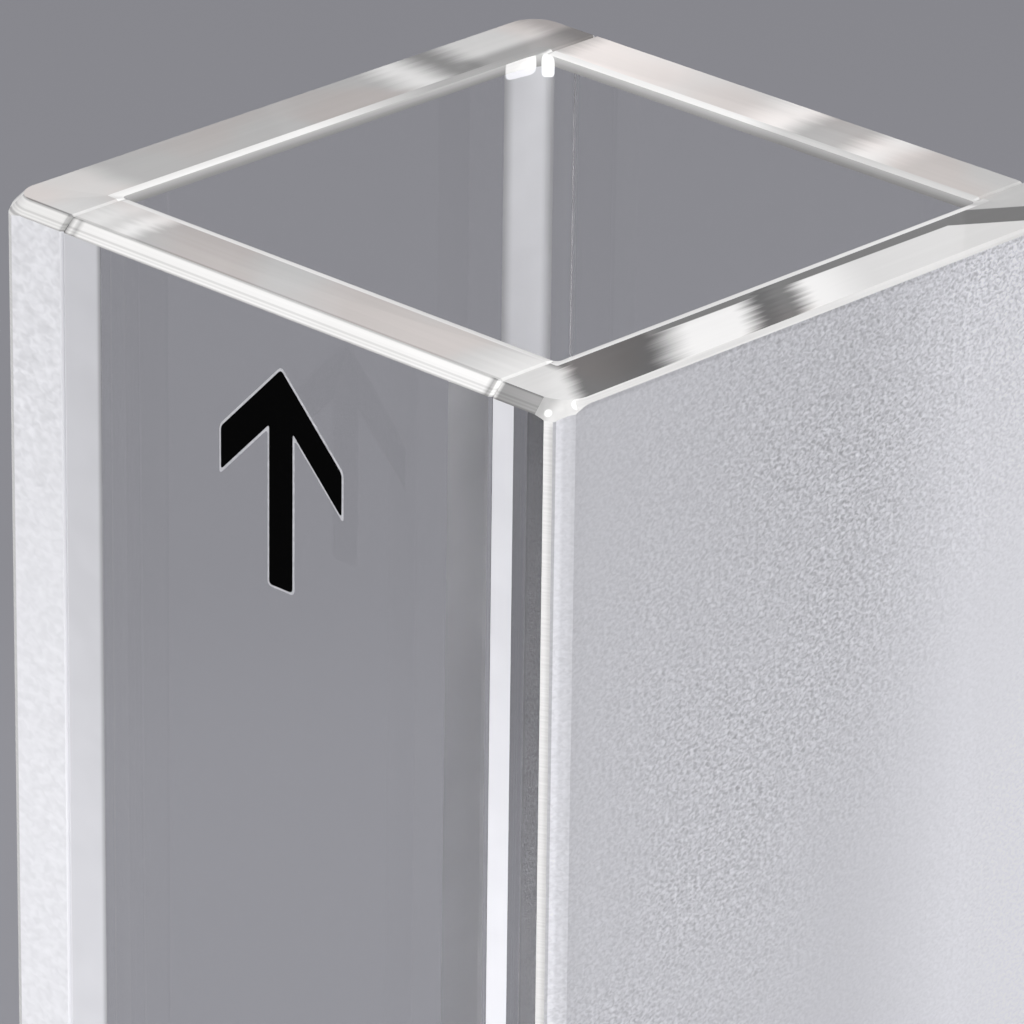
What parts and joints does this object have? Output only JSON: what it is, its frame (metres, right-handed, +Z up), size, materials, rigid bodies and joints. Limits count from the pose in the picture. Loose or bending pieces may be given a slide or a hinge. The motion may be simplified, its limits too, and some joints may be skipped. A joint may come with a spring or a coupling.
{
  "type": "cuvette",
  "caption": "Upright square glass sample cell, open at the top, with polished windows front and back and one ground side face, for holding a liquid in a light beam.",
  "frame": {"origin": "centre of the underside, in the plane that the cell stands on", "axes": "+Z up through the open mouth; the polished windows look along -Y (front, with the printed mark) and +Y; the ground face looks along +X and the clear side face along -X"},
  "size_m": [0.0126, 0.0126, 0.045],
  "materials": {
    "cell_glass": "polished windows, one ground side face and polished bevels"
  },
  "bodies": {
    "root": {"cuvette": "cell_glass"}
  },
  "joints": []
}
